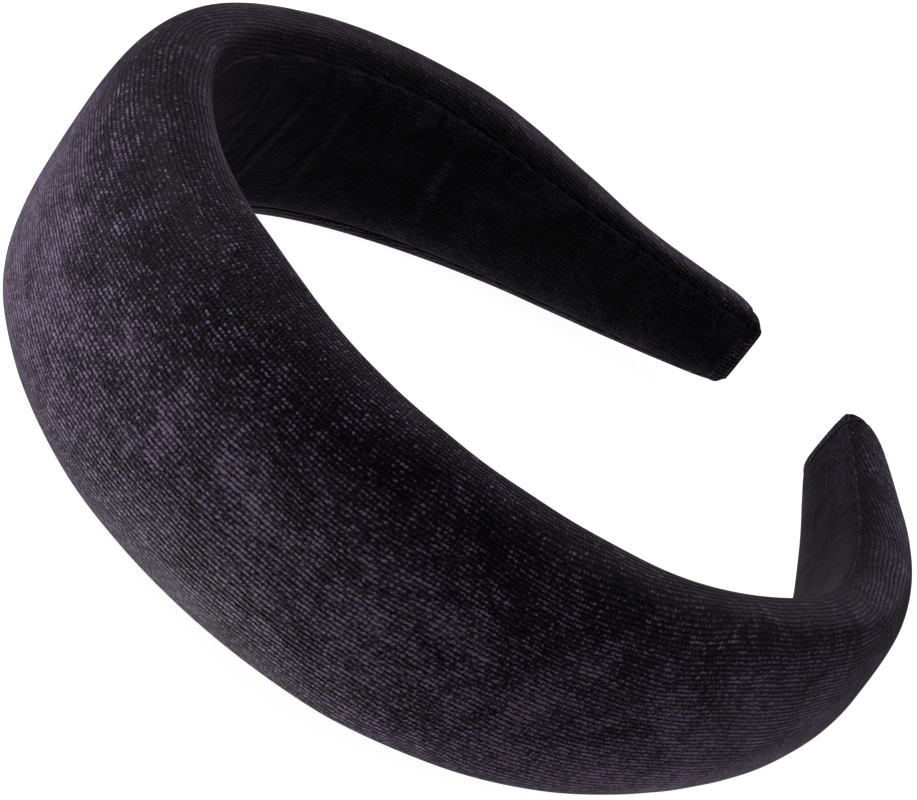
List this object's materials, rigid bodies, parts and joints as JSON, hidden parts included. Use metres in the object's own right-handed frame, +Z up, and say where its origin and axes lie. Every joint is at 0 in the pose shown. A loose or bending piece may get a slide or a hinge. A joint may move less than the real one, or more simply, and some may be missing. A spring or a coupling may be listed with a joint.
{
  "type": "padded headband",
  "caption": "Wide padded velvet headband: a sprung core strip under a domed sponge, wrapped in cloth, open between two tapered tips.",
  "frame": {"origin": "middle of the band's footprint, on the surface it lies on", "axes": "+Z up through the height of the band, which is front to back on a head; +Y from the crown towards the two tips; +X to the right arm"},
  "size_m": [0.144, 0.1692, 0.048],
  "materials": {
    "velvet": "matte",
    "velvet_lining": "matte",
    "core_plastic": "satin",
    "foam": "matte",
    "tape": "matte"
  },
  "bodies": {
    "left_half": {"core_band_left": "core_plastic", "adhesive_strip_left": "tape", "foam_pad_left": "foam", "velvet_cover_left": "velvet", "velvet_lining_left": "velvet_lining", "tip_fold_left": "velvet"},
    "right_half": {"core_band_right": "core_plastic", "adhesive_strip_right": "tape", "foam_pad_right": "foam", "velvet_cover_right": "velvet", "velvet_lining_right": "velvet_lining", "tip_fold_right": "velvet"}
  },
  "joints": [
    {"name": "band_flex", "type": "hinge", "parent": "left_half", "child": "right_half", "pos_m": [0, -0.06694, 0.024], "axis": [0, 0, -1], "range_deg": [-8, 44], "stiffness_Nm_per_rad": 0.35}
  ]
}
